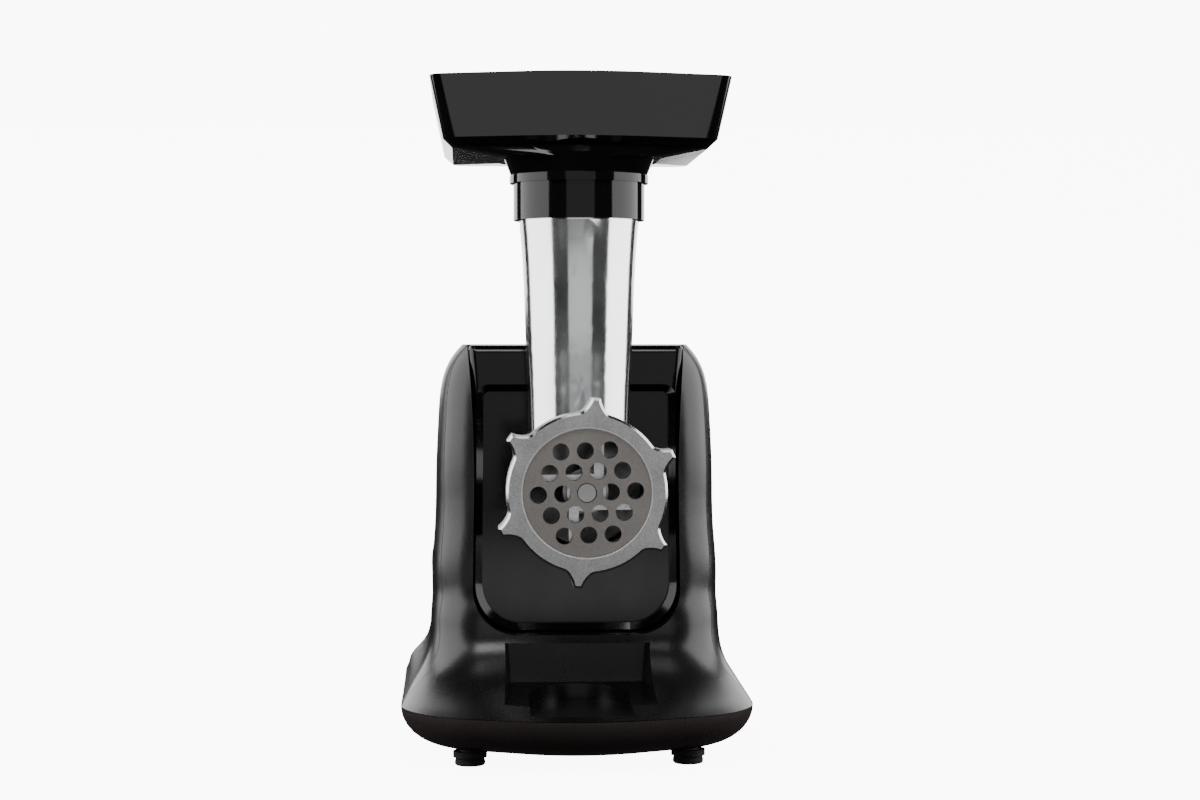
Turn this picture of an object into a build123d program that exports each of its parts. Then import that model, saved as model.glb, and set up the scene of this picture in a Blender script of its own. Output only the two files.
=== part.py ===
from build123d import *
import os
from math import acos, atan2, cos, degrees, hypot, pi, radians, sin, sqrt, tan

# Electric meat grinder: moulded body, cast grinding head, loading tray, motor and gear train.
# Millimetres, +Z up, the front faces -Y. The origin is on the table, under the middle of the machine.

os.makedirs("parts", exist_ok=True)

# ------------------------------------------------------------------ driving dimensions
BARREL_Z = 130.0  # axis of the barrel, feed screw and output shaft
TUBE_Y = -47.5  # axis of the feed tube
WALL = 2.6  # moulded wall
GAP = 0.3  # between pieces that move past each other
RUNNING = 0.05  # radial clearance of a shaft in its bearing

SEAM_Z = 25.0  # top of the base pan
PAN_FLOOR_Z = 6.5
BODY_TOP_Z = 194.5
PANEL_RIM_Y = -21.5
PANEL_FACE_Y = -15.0
PANEL_BACK_Y = -12.0

NUT_FRONT_Y = -122.5
NUT_REAR_Y = -103.5
PLATE_FRONT_Y = -120.5
PLATE_REAR_Y = -115.5
PLATE_R = 29.8
BORE_R = 26.0
THROAT_R = 21.5
THROAT_FOOT_Z = 158.0  # the straight throat ends here and widens into the barrel
BARREL_BACK_Y = -25.0

RIM_Z = 316.0
CREASE_Z = 288.0
TUBE_TOP_Z = 266.0

SHAFT_R = 2.5  # motor shaft
SPINDLE_R = 3.0
OUTPUT_R = 8.0
CORE_R = 19.0
STATOR_FRONT_Y, STATOR_REAR_Y = 50.5, 83.5
CASE_FRONT_Y, CASE_INSIDE_Y, COVER_Y, COVER_BACK_Y = -1.0, 2.0, 34.0, 37.0
STAGE_3_Y = (2.6, 14.6)
STAGE_2_Y = (15.6, 24.6)
STAGE_1_Y = (25.6, 32.6)
STAGE_1 = (9, 50, 0.9)  # pinion teeth, wheel teeth, module
STAGE_2 = (12, 46, 1.25)
STAGE_3 = (13, 44, 1.5)


def centre_distance(stage):
    """Distance between the axes of one pinion and wheel."""
    return stage[2] * (stage[0] + stage[1]) / 2


def beside(centre, distance, angle):
    """The point at a distance and an angle from a centre, seen from the front."""
    return (centre[0] + distance * cos(radians(angle)), centre[1] + distance * sin(radians(angle)))


OUTPUT = (0.0, BARREL_Z)
LAYSHAFT_2 = beside(OUTPUT, centre_distance(STAGE_3), -70.75)
LAYSHAFT_1 = beside(LAYSHAFT_2, centre_distance(STAGE_2), 184.1)
MOTOR = beside(LAYSHAFT_1, centre_distance(STAGE_1), -34.3)

BUTTON = (29.5, 100.4)
LOCK_PIN = (19.8, 100.4)
FEET = ((-50.6, -50.0), (50.6, -50.0), (-56.0, 92.0), (56.0, 92.0))
PAN_SCREWS = ((-62.0, -38.0), (62.0, -38.0), (-75.0, 62.0), (75.0, 62.0))
SWITCH_Y, SWITCH_Z, SWITCH_X = 35.0, 96.0, 67.6
REVERSE_Z = 60.0
GLAND = (34.0, 42.0)

made = []


def finish(name, part):
    """Labels a finished sub-part and writes it."""
    part.label = name
    export_step(part, f"parts/{name}.step")
    made.append(name)


def across(y):
    """The upright plane at y seen from the front; extruding goes towards the front."""
    return Plane.XZ.offset(-y)


def bar(radius, y0, y1, centre=OUTPUT, mode=Mode.ADD):
    """A round bar along Y."""
    with Locations(Location((centre[0], (y0 + y1) / 2, centre[1]), (90, 0, 0))):
        Cylinder(radius, y1 - y0, mode=mode)


def post(radius, z0, z1, x=0.0, y=0.0, mode=Mode.ADD):
    """A round upright post."""
    with Locations(Location((x, y, (z0 + z1) / 2))):
        Cylinder(radius, z1 - z0, mode=mode)


def block(x0, x1, y0, y1, z0, z1, mode=Mode.ADD):
    """A rectangular block between two corners."""
    with Locations(Location(((x0 + x1) / 2, (y0 + y1) / 2, (z0 + z1) / 2))):
        Box(x1 - x0, y1 - y0, z1 - z0, mode=mode)


def screws(name, places, radius, length, head_r, head_h):
    """A group of identical cross-head screws; each place's own z is the way the shank points."""
    with BuildPart() as group:
        with Locations(*places):
            Cylinder(radius, length, align=(Align.CENTER, Align.CENTER, Align.MIN))
            Cylinder(head_r, head_h, align=(Align.CENTER, Align.CENTER, Align.MAX))
        with Locations(*[place * Pos(0, 0, -head_h) for place in places]):
            for turn in (0, 90):
                Box(head_r * 1.3, head_r * 0.28, head_h, rotation=(0, 0, turn), mode=Mode.SUBTRACT)
    finish(name, group.part)


# ------------------------------------------------------------------ body envelope
# height, half width in front and behind, y of the front corners, how far the front bows out,
# y of the rear, corner radius in front and behind
SECTIONS = (
    (SEAM_Z + GAP, 83.0, 83.0, -66.0, 29.0, 122.5, 50.0, 36.0),
    (28.5, 80.8, 82.9, -60.0, 24.0, 122.3, 46.0, 35.0),
    (32.0, 78.4, 82.2, -53.0, 18.5, 122.0, 42.0, 34.0),
    (36.0, 75.8, 79.8, -46.0, 14.0, 121.6, 38.0, 33.0),
    (41.0, 73.3, 74.6, -39.5, 10.0, 121.2, 34.0, 31.0),
    (46.0, 71.4, 71.8, -35.0, 7.0, 120.9, 31.0, 29.0),
    (56.0, 69.7, 69.7, -30.0, 4.5, 120.5, 28.0, 28.0),
    (74.0, 68.6, 68.6, -26.8, 3.0, 120.0, 27.0, 27.0),
    (98.0, 68.0, 68.0, -25.6, 2.5, 119.2, 26.0, 27.0),
    (128.0, 66.8, 66.8, -25.0, 2.5, 117.5, 26.0, 27.0),
    (156.0, 65.8, 65.8, -24.5, 2.5, 113.5, 25.0, 27.0),
    (173.0, 64.5, 64.5, -23.6, 2.3, 108.5, 24.0, 26.0),
    (184.0, 61.5, 61.5, -22.2, 2.0, 102.5, 22.0, 25.0),
    (190.5, 57.6, 57.6, -20.6, 2.0, 97.0, 20.0, 23.0),
    (BODY_TOP_Z, 54.0, 54.0, -19.2, 2.0, 91.0, 18.0, 21.0),
)


def outline(z, front_half, rear_half, corner_y, bow, rear_y, front_r, rear_r, inset=0.0):
    """One level of the body: a round-cornered outline whose front bows out, drawn in by the inset."""
    front_half -= inset
    rear_half -= inset
    front_y, rear_y = corner_y + inset, rear_y - inset
    front_r, rear_r = front_r - inset, rear_r - inset
    crown_r = 0.42 * front_half**2 / bow
    with BuildSketch(Plane.XY.offset(z)) as level:
        with BuildLine():
            FilletPolyline(
                (-front_half, front_y), (0, front_y - bow), (front_half, front_y),
                (rear_half, rear_y), (-rear_half, rear_y),
                radius=[front_r, crown_r, front_r, rear_r, rear_r], close=True,
            )
        make_face()
    return level.sketch


def envelope(inset, drop):
    """The body's outer form as a solid, or the smaller form inside its walls."""
    with BuildPart() as form:
        for z, *sizes in SECTIONS:
            level = z - drop * max(0.0, (z - 150) / (BODY_TOP_Z - 150))
            add(outline(level, *sizes, inset=inset))
        loft()
    return form.part


OUTER = envelope(0.0, 0.0)
INNER = envelope(WALL, WALL)


def channel(grow, y0, y1):
    """The open-topped recess between the cheeks, from y0 to y1, grown all round."""
    with BuildPart() as space:
        with BuildSketch(across(y1)) as face:
            with BuildLine():
                FilletPolyline(
                    (-52.3, 200), (-48.0, 155), (-49.5, 57.6), (49.5, 57.6), (48.0, 155), (52.3, 200),
                    radius=[1.0, 600, 21, 21, 600, 1.0], close=True,
                )
            make_face()
            offset(amount=grow, kind=Kind.INTERSECTION)
        extrude(amount=y1 - y0)
    return space.part


def niche(grow):
    """The space between the legs: its floor slopes down to the front and it widens that way."""
    back_y, mouth_y = -22.5, -100.0
    with BuildPart() as space:
        with BuildSketch(across(back_y + grow)):
            with BuildLine():
                Polyline((-31.2, 34.1), (31.2, 34.1), (32.6, 54), (-32.6, 54), close=True)
            make_face()
            offset(amount=grow, kind=Kind.INTERSECTION)
        with BuildSketch(across(mouth_y)):
            with BuildLine():
                Polyline((-37.6, 27.6), (37.6, 27.6), (44.0, 54), (-44.0, 54), close=True)
            make_face()
            offset(amount=grow, kind=Kind.INTERSECTION)
        loft(ruled=True)
    return space.part


CUP_R, CUP_FLOOR_Z = 23.4, 26.9


def cup_seat(grow, z0):
    """The D-shaped seat let into the niche floor, open to the front."""
    centre_y = -25.5 - CUP_R
    with BuildPart() as space:
        post(CUP_R + grow, z0, 40, 0, centre_y)
        block(-CUP_R - grow, CUP_R + grow, -100, centre_y, z0, 40)
    return space.part


def seam_side(behind):
    """Everything in front of the shells' parting surface, or everything behind it."""
    far = 140 if behind else -140
    clear = GAP if behind else 0.0
    with BuildPart() as side:
        with BuildSketch(Plane.YZ):
            with BuildLine():
                line = Spline(
                    (-42 + clear, 20), (-30 + clear, 33), (-21.5 + clear, 50), (-16 + clear, 80),
                    (-14 + clear, 130), (-10.5 + clear, 200),
                )
                Polyline(line @ 1, (far, 200), (far, 20), line @ 0)
            make_face()
        extrude(amount=100, both=True)
    return side.part


def boss(x, y, top):
    """A screw boss that stands on the seam, trimmed to the body's outer form."""
    with BuildPart() as pillar:
        post(4.5, SEAM_Z + GAP, top, x, y)
        add(OUTER, mode=Mode.INTERSECT)
    return pillar.part


# ------------------------------------------------------------------ front shell
with BuildPart() as hollows:
    add(channel(0.0, -100, PANEL_BACK_Y))
    add(niche(0.0))
    add(cup_seat(0.0, CUP_FLOOR_Z))

with BuildPart() as lining:
    add(channel(WALL, -100, PANEL_BACK_Y))
    add(niche(WALL))
    add(cup_seat(WALL, SEAM_Z))
    add(OUTER, mode=Mode.INTERSECT)

with BuildPart() as front_shell:
    add(OUTER)
    add(INNER, mode=Mode.SUBTRACT)
    add(seam_side(behind=False), mode=Mode.INTERSECT)
    add(lining.part)
    add(hollows.part, mode=Mode.SUBTRACT)
    for x, y in PAN_SCREWS[:2]:
        add(boss(x, y, 60))
        post(1.6, SEAM_Z, SEAM_Z + 7, x, y, mode=Mode.SUBTRACT)
finish("front_shell", front_shell.part)

# ------------------------------------------------------------------ rear shell
with BuildPart() as rear_shell:
    add(OUTER)
    add(INNER, mode=Mode.SUBTRACT)
    add(seam_side(behind=True), mode=Mode.INTERSECT)
    with BuildSketch(across(200)):
        with Locations((0, 96)):
            with GridLocations(50, 8, 1, 8):
                SlotOverall(76, 3.2)
    extrude(amount=200 - 100, mode=Mode.SUBTRACT)
    block(45, 90, SWITCH_Y - 11, SWITCH_Y + 11, SWITCH_Z - 15, SWITCH_Z + 15, mode=Mode.SUBTRACT)
    with BuildSketch(Plane.YZ):
        with Locations((SWITCH_Y, REVERSE_Z)):
            Circle(6.3)
    extrude(amount=90, mode=Mode.SUBTRACT)
    bar(5.0, 100, 130, GLAND, mode=Mode.SUBTRACT)
    for x, y in PAN_SCREWS[2:]:
        add(boss(x, y, 60))
        post(1.6, SEAM_Z, SEAM_Z + 7, x, y, mode=Mode.SUBTRACT)
finish("rear_shell", rear_shell.part)

# ------------------------------------------------------------------ base pan
PAN_RIM = SECTIONS[0][1:]
PAN_DROP, PAN_TURN = SEAM_Z - PAN_FLOOR_Z, 24.0


def pan_form(inset):
    """The pan's rounded form: a quarter ellipse from the rim in to the flat floor."""
    with BuildPart() as form:
        for step in range(7):
            angle = radians(15 * step)
            z = SEAM_Z - (PAN_DROP - inset) * sin(angle)
            add(outline(z, *PAN_RIM, inset=inset + (PAN_TURN - inset) * (1 - cos(angle))))
        loft()
    return form.part


with BuildPart() as base_pan:
    add(pan_form(0.0))
    add(pan_form(WALL), mode=Mode.SUBTRACT)
    for x, y in PAN_SCREWS:
        post(5.0, PAN_FLOOR_Z, SEAM_Z, x, y)
    add(pan_form(0.0), mode=Mode.INTERSECT)
    for x, y in PAN_SCREWS:
        post(1.9, 0, SEAM_Z + 1, x, y, mode=Mode.SUBTRACT)
        post(3.6, 0, SEAM_Z - 6, x, y, mode=Mode.SUBTRACT)
    for x, y in FEET:
        post(5.0, PAN_FLOOR_Z, PAN_FLOOR_Z + 9, x, y)
        post(1.6, 0, PAN_FLOOR_Z + 8, x, y, mode=Mode.SUBTRACT)
    with BuildSketch(Plane.XY.offset(PAN_FLOOR_Z)):
        with Locations((0, 55)):
            with GridLocations(50, 7, 1, 7):
                SlotOverall(60, 3)
    extrude(amount=WALL, mode=Mode.SUBTRACT)
finish("base_pan", base_pan.part)

for side, (x, y) in zip(("front_left", "front_right", "rear_left", "rear_right"), FEET):
    with BuildPart() as foot:
        with BuildSketch(Plane(origin=(x, y, 0), x_dir=(1, 0, 0), z_dir=(0, -1, 0))):
            with BuildLine():
                Polyline(
                    (0, 3.2), (0, PAN_FLOOR_Z), (7.9, PAN_FLOOR_Z), (7.9, 3.8), (6.7, 3.2),
                    (6.7, 2.6), (7.1, 2.2), (7.1, 0.6), (6.5, 0), (3.4, 0), (3.4, 3.2), close=True,
                )
            make_face()
        revolve(axis=Axis((x, y, 0), (0, 0, 1)))
        post(1.6, 0, 10, x, y, mode=Mode.SUBTRACT)
    finish(f"foot_{side}", foot.part)

base_places = [(x, y, SEAM_Z - 6) for x, y in PAN_SCREWS] + [(x, y, 3.2) for x, y in FEET]
screws("base_screws", [Location(place) for place in base_places], 1.55, 10.5, 3.0, 1.8)

# ------------------------------------------------------------------ front panel
with BuildPart() as front_panel:
    with BuildSketch(across(PANEL_BACK_Y)):
        with BuildLine():
            FilletPolyline(
                (-51.2, BODY_TOP_Z - 0.4), (-47.7, 155), (-49.2, 57.9), (49.2, 57.9), (47.7, 155),
                (51.2, BODY_TOP_Z - 0.4), radius=[2, 600, 20.7, 20.7, 600, 2], close=True,
            )
        make_face()
    extrude(amount=PANEL_BACK_Y - PANEL_RIM_Y)
    fillet(front_panel.faces().sort_by(Axis.Y)[0].edges().sort_by(Axis.Z)[-1], 4.0)
    with BuildSketch(across(PANEL_FACE_Y)):
        with BuildLine():
            FilletPolyline(
                (-44.8, 61.7), (44.8, 61.7), (44.0, 172), (-44.0, 172), radius=[19, 19, 3, 3], close=True,
            )
        make_face()
    extrude(amount=20, mode=Mode.SUBTRACT)
    chamfer(front_panel.faces().sort_by(Axis.Y)[0].edges().filter_by_position(Axis.Z, 171, 173), 3.5)
    with BuildSketch(across(0)):
        with BuildLine():
            FilletPolyline(
                (-46, 176.5), (46, 176.5), (47, 191), (-47, 191), radius=[2, 2, 2, 2], close=True,
            )
        make_face()
    extrude(amount=18.5, mode=Mode.SUBTRACT)
    bar(32.8, -30, 0, mode=Mode.SUBTRACT)
    bar(5.8, -30, 0, BUTTON, mode=Mode.SUBTRACT)
    bar(1.9, -30, 0, LOCK_PIN, mode=Mode.SUBTRACT)
finish("front_panel", front_panel.part)

# ------------------------------------------------------------------ bayonet socket and its latch
SOCKET_FRONT_Y = -19.0

with BuildPart() as head_socket:
    bar(32.5, SOCKET_FRONT_Y, CASE_FRONT_Y)
    bar(27.0, SOCKET_FRONT_Y, CASE_FRONT_Y, mode=Mode.SUBTRACT)
    bar(30.6, -15.0, CASE_FRONT_Y, mode=Mode.SUBTRACT)
    for angle in (0, 120, 240):
        with BuildSketch(across(-15.0)):
            with Locations(Location((0, BARREL_Z, 0), (0, 0, angle - 27))):
                with Locations((28.6, 0)):
                    Rectangle(4.0, 14.6)
        extrude(amount=5.0, mode=Mode.SUBTRACT)
finish("head_socket", head_socket.part)

with BuildPart() as release_button:
    bar(5.5, -18.0, -9.4, BUTTON)
    fillet(release_button.edges().group_by(Axis.Y)[0], 1.0)
    with BuildSketch(across(-9.4)):
        with Locations(((BUTTON[0] + LOCK_PIN[0]) / 2, BUTTON[1])):
            SlotCenterToCenter(BUTTON[0] - LOCK_PIN[0], 6)
    extrude(amount=2.0)
    bar(1.6, SOCKET_FRONT_Y - 0.1, -9.4, LOCK_PIN)
finish("release_button", release_button.part)


def coil_spring(name, start, end, radius, wire_r, turns):
    """A compression spring of round wire between two points."""
    along = Vector(*end) - Vector(*start)
    path = Helix(along.length / turns, along.length, radius, center=start, direction=along, mode=Mode.PRIVATE)
    with BuildPart() as spring:
        with BuildSketch(Plane(origin=path @ 0, z_dir=path % 0)) as wire:
            Circle(wire_r)
        sweep(wire.sketch, path=path)
    finish(name, spring.part)


coil_spring("release_spring", (BUTTON[0], -8.8, BUTTON[1]), (BUTTON[0], -1.6, BUTTON[1]), 3.6, 0.45, 4)

# ------------------------------------------------------------------ gear train
BACKLASH = 0.10


def involute(angle):
    return tan(angle) - angle


def gear_outline(centre, teeth, module, turn, y, addendum=1.0):
    """A spur gear's outline with one tooth pointing at the turn angle, on the upright plane at y."""
    pitch_r = teeth * module / 2
    pressure = radians(20)
    base_r = pitch_r * cos(pressure)
    root_r, tip_r = pitch_r - 1.25 * module, pitch_r + addendum * module
    half_pitch = (pi * module / 2 - BACKLASH) / 2 / pitch_r
    start_r = max(root_r, base_r)
    radii = [root_r] if root_r < base_r else []
    radii += [start_r + (tip_r - start_r) * step / 3 for step in range(4)]
    half = []
    for r in radii:
        roll = acos(min(1.0, base_r / r)) if r > base_r else 0.0
        half.append(half_pitch + involute(pressure) - involute(roll))
    points = []
    for tooth in range(teeth):
        middle = radians(turn) + 2 * pi * tooth / teeth
        flank = [(r, middle - a) for r, a in zip(radii, half)]
        back = [(r, middle + a) for r, a in reversed(list(zip(radii, half)))]
        points += [(centre[0] + r * cos(a), centre[1] + r * sin(a)) for r, a in flank + back]
    with BuildSketch(across(y)) as face:
        with BuildLine():
            Polyline(*points, close=True)
        make_face()
    return face.sketch


def mesh_turns(driver, driven, driven_teeth):
    """Turn angles that put a driver's tooth into a gap of the driven wheel."""
    line = degrees(atan2(driven[1] - driver[1], driven[0] - driver[0]))
    return line, line + 180 + 180 / driven_teeth


def make_gear(name, centre, teeth, module, turn, span, bore, addendum=1.0, hub=None, web=None):
    """A gear with a bore, an optional hub (radius, y0, y1) and a thinned web (radius in, out)."""
    with BuildPart() as gear:
        extrude(gear_outline(centre, teeth, module, turn, span[1], addendum), amount=span[1] - span[0])
        if web:
            for y0, y1 in ((span[0], span[0] + 2.2), (span[1] - 2.2, span[1])):
                with BuildSketch(across(y1)):
                    with Locations((centre[0], centre[1])):
                        Circle(web[1])
                        Circle(web[0], mode=Mode.SUBTRACT)
                extrude(amount=y1 - y0, mode=Mode.SUBTRACT)
        if hub:
            bar(hub[0], hub[1], hub[2], centre)
        bar(bore, -60, 160, centre, mode=Mode.SUBTRACT)
    finish(name, gear.part)


turn_pinion, turn_wheel = mesh_turns(MOTOR, LAYSHAFT_1, STAGE_1[1])
with BuildPart() as motor_pinion:
    extrude(gear_outline(MOTOR, STAGE_1[0], STAGE_1[2], turn_pinion, STAGE_1_Y[1], 0.9), amount=7)
finish("motor_pinion", motor_pinion.part)

SLEEVE_R = 5.2
make_gear(
    "layshaft_1_wheel", LAYSHAFT_1, STAGE_1[1], STAGE_1[2], turn_wheel, STAGE_1_Y, SLEEVE_R,
    addendum=0.8, web=(9, 18.5),
)
turn_pinion, turn_wheel = mesh_turns(LAYSHAFT_1, LAYSHAFT_2, STAGE_2[1])
make_gear(
    "layshaft_1_pinion", LAYSHAFT_1, STAGE_2[0], STAGE_2[2], turn_pinion, STAGE_2_Y, SPINDLE_R + RUNNING,
    addendum=0.9, hub=(SLEEVE_R, STAGE_2_Y[1], STAGE_1_Y[1]),
)
make_gear(
    "layshaft_2_wheel", LAYSHAFT_2, STAGE_2[1], STAGE_2[2], turn_wheel, STAGE_2_Y, SLEEVE_R,
    addendum=0.8, web=(9, 24.0),
)
turn_pinion, turn_wheel = mesh_turns(LAYSHAFT_2, OUTPUT, STAGE_3[1])
make_gear(
    "layshaft_2_pinion", LAYSHAFT_2, STAGE_3[0], STAGE_3[2], turn_pinion, STAGE_3_Y, SPINDLE_R + RUNNING,
    addendum=0.9, hub=(SLEEVE_R, STAGE_3_Y[1], STAGE_2_Y[1]),
)
make_gear(
    "output_gear", OUTPUT, STAGE_3[1], STAGE_3[2], turn_wheel, STAGE_3_Y, OUTPUT_R, addendum=0.8,
    web=(14, 27.5),
)


def case_outline(y, grow):
    """The gear case's outline round its three shafts and the motor's mounting flange."""
    with BuildSketch(across(y)) as face:
        for (x, z), radius in ((OUTPUT, 36.5), (LAYSHAFT_1, 26.5), (LAYSHAFT_2, 32.5)):
            with Locations((x, z)):
                Circle(radius)
        make_hull()
        offset(amount=grow)
    return face.sketch


CASE_SCREWS = (beside(OUTPUT, 37.7, 100), beside(LAYSHAFT_1, 28.0, 190), beside(LAYSHAFT_2, 34.0, -20))

with BuildPart() as gear_case:
    extrude(case_outline(COVER_Y, 2.5), amount=COVER_Y - CASE_FRONT_Y)
    extrude(case_outline(COVER_Y, 0.0), amount=COVER_Y - CASE_INSIDE_Y, mode=Mode.SUBTRACT)
    for place in CASE_SCREWS:
        bar(3.0, CASE_FRONT_Y, COVER_Y, place)
    extrude(case_outline(COVER_Y, 5.0), amount=COVER_Y - CASE_FRONT_Y, mode=Mode.INTERSECT)
    bar(11.0, CASE_FRONT_Y, CASE_INSIDE_Y + 0.4)
    bar(10.0, -5, 5, mode=Mode.SUBTRACT)
    for place in (LAYSHAFT_1, LAYSHAFT_2):
        bar(SPINDLE_R, -5, 5, place, mode=Mode.SUBTRACT)
    for place in CASE_SCREWS:
        bar(1.3, 20, COVER_Y + 1, place, mode=Mode.SUBTRACT)
finish("gear_case", gear_case.part)

MOTOR_SCREWS = tuple((MOTOR[0] + x, MOTOR[1] + z) for x in (-27, 27) for z in (-22, 22))

with BuildPart() as gear_cover:
    extrude(case_outline(COVER_BACK_Y, 2.5), amount=COVER_BACK_Y - COVER_Y)
    with BuildSketch(across(COVER_BACK_Y)):
        with Locations(MOTOR):
            RectangleRounded(66, 58, 6)
    extrude(amount=COVER_BACK_Y - COVER_Y)
    for place in CASE_SCREWS:
        bar(3.0, COVER_Y, COVER_BACK_Y, place)
    for place in MOTOR_SCREWS:
        bar(3.2, COVER_BACK_Y, STATOR_FRONT_Y, place)
    bar(10.5, COVER_BACK_Y, 40.5, MOTOR)
    bar(8.0, COVER_Y - 5, 60, MOTOR, mode=Mode.SUBTRACT)
    bar(10.0, COVER_Y - 5, 60, mode=Mode.SUBTRACT)
    for place in (LAYSHAFT_1, LAYSHAFT_2):
        bar(SPINDLE_R, COVER_Y - 5, 60, place, mode=Mode.SUBTRACT)
    for place in MOTOR_SCREWS + CASE_SCREWS:
        bar(1.6, COVER_Y - 5, 60, place, mode=Mode.SUBTRACT)
finish("gear_cover", gear_cover.part)

screws(
    "case_screws", [Location((x, COVER_BACK_Y, z), (90, 0, 0)) for x, z in CASE_SCREWS], 1.25, 12, 2.6, 1.8,
)
screws(
    "motor_screws", [Location((x, STATOR_REAR_Y, z), (90, 0, 0)) for x, z in MOTOR_SCREWS],
    1.55, STATOR_REAR_Y - COVER_Y, 3.0, 2.0,
)

for number, place in enumerate((LAYSHAFT_1, LAYSHAFT_2), 1):
    with BuildPart() as spindle:
        bar(SPINDLE_R, CASE_FRONT_Y, COVER_BACK_Y, place)
    finish(f"layshaft_{number}_spindle", spindle.part)

for name, y0, y1 in (("output_bush_front", -1.0, 2.4), ("output_bush_rear", 34.0, 37.0)):
    with BuildPart() as bush:
        bar(10.0, y0, y1)
        bar(OUTPUT_R + RUNNING, y0 - 1, y1 + 1, mode=Mode.SUBTRACT)
    finish(name, bush.part)

# ------------------------------------------------------------------ motor
with BuildPart() as motor_shaft:
    bar(SHAFT_R, STAGE_1_Y[1], 110.5, MOTOR)
finish("motor_shaft", motor_shaft.part)

with BuildPart() as rotor_core:
    bar(CORE_R, 51.5, 82.5, MOTOR)
    for slot in range(12):
        bar(1.4, 50, 84, beside(MOTOR, CORE_R - 0.9, 30 * slot), mode=Mode.SUBTRACT)
    bar(SHAFT_R, 40, 90, MOTOR, mode=Mode.SUBTRACT)
finish("rotor_core", rotor_core.part)

with BuildPart() as rotor_windings:
    for y0, y1 in ((47.5, 51.5), (82.5, 86.4)):
        bar(15.6, y0, y1, MOTOR)
    bar(SHAFT_R, 40, 90, MOTOR, mode=Mode.SUBTRACT)
finish("rotor_windings", rotor_windings.part)

with BuildPart() as commutator:
    bar(11.0, 87.0, 99.0, MOTOR)
    for slot in range(24):
        with BuildSketch(across(99.0)):
            with Locations(Location((MOTOR[0], MOTOR[1], 0), (0, 0, 15 * slot))):
                with Locations((10.8, 0)):
                    Rectangle(1.0, 0.4)
        extrude(amount=12, mode=Mode.SUBTRACT)
    bar(SHAFT_R, 80, 105, MOTOR, mode=Mode.SUBTRACT)
finish("commutator", commutator.part)

with BuildPart() as cooling_fan:
    bar(5.0, 41.0, 46.4, MOTOR)
    bar(24.0, 45.4, 46.4, MOTOR)
    for blade in range(9):
        with BuildSketch(across(45.4)):
            with Locations(Location((MOTOR[0], MOTOR[1], 0), (0, 0, 40 * blade))):
                with Locations((14.0, 0)):
                    Rectangle(19.0, 1.2)
        extrude(amount=4.2)
    bar(SHAFT_R, 40, 50, MOTOR, mode=Mode.SUBTRACT)
finish("cooling_fan", cooling_fan.part)

COIL_Z = 19.6  # height of a coil's legs above or below the motor's axis

with BuildPart() as stator_core:
    with BuildSketch(across(STATOR_REAR_Y)):
        with Locations(MOTOR):
            RectangleRounded(64, 56, 7)
            Circle(CORE_R + 0.5, mode=Mode.SUBTRACT)
        for x in (-20.5, 20.5):
            for z in (-COIL_Z, COIL_Z):
                with Locations((MOTOR[0] + x, MOTOR[1] + z)):
                    Rectangle(7, 7, mode=Mode.SUBTRACT)
        with Locations(*MOTOR_SCREWS):
            Circle(1.6, mode=Mode.SUBTRACT)
    extrude(amount=STATOR_REAR_Y - STATOR_FRONT_Y)
finish("stator_core", stator_core.part)

for name, side in (("field_coil_upper", 1), ("field_coil_lower", -1)):
    with BuildPart() as coil:
        with BuildSketch(Plane.XY.offset(MOTOR[1] + side * COIL_Z - 3.4)):
            with Locations((MOTOR[0], (STATOR_FRONT_Y + STATOR_REAR_Y) / 2)):
                Rectangle(46.6, 39.4)
                Rectangle(34.4, STATOR_REAR_Y - STATOR_FRONT_Y + 0.2, mode=Mode.SUBTRACT)
        extrude(amount=6.8)
        fillet(coil.edges().filter_by(Axis.Z).group_by(SortBy.LENGTH)[-1].sort_by(Axis.Y)[:2], 2.0)
    finish(name, coil.part)

with BuildPart() as motor_bracket:
    with BuildSketch(across(107.5)):
        with Locations(MOTOR):
            RectangleRounded(64, 22, 4)
    extrude(amount=5)
    for x0, x1 in ((-32, -28), (28, 32)):
        block(MOTOR[0] + x0, MOTOR[0] + x1, STATOR_REAR_Y, 102.5, MOTOR[1] - 9, MOTOR[1] + 9)
    bar(8.0, 90, 120, MOTOR, mode=Mode.SUBTRACT)
finish("motor_bracket", motor_bracket.part)

for name, y0 in (("bearing_front", COVER_Y), ("bearing_rear", 102.5)):
    with BuildPart() as bearing:
        bar(8.0, y0, y0 + 5, MOTOR)
        bar(SHAFT_R + RUNNING, y0 - 1, y0 + 6, MOTOR, mode=Mode.SUBTRACT)
    finish(name, bearing.part)

for side, sign in (("left", -1), ("right", 1)):
    x = MOTOR[0]
    near, far = sorted((x + sign * 13.0, x + sign * 28.0))
    with BuildPart() as holder:
        block(near, far, 88.5, 97.5, MOTOR[1] - 5.5, MOTOR[1] + 5.5)
        block(near - 1, far + 1, 90.0, 96.0, MOTOR[1] - 4.0, MOTOR[1] + 4.0, mode=Mode.SUBTRACT)
    finish(f"brush_holder_{side}", holder.part)
    near, far = sorted((x + sign * 11.3, x + sign * 22.0))
    with BuildPart() as brush:
        block(near, far, 90.0, 96.0, MOTOR[1] - 4.0, MOTOR[1] + 4.0)
    finish(f"brush_{side}", brush.part)
    coil_spring(
        f"brush_spring_{side}", (x + sign * 22.6, 93, MOTOR[1]), (x + sign * 27.4, 93, MOTOR[1]), 2.4, 0.3, 3,
    )

# ------------------------------------------------------------------ output drive and feed screw
HEX_FLATS = 14.0


def hexagon(flats, y0, y1, mode=Mode.ADD):
    """A hexagonal bar on the barrel's axis."""
    with BuildSketch(across(y1)) as face:
        with Locations((0, BARREL_Z)):
            RegularPolygon(flats / sqrt(3), 6)
    extrude(face.sketch, amount=y1 - y0, mode=mode)


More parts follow.
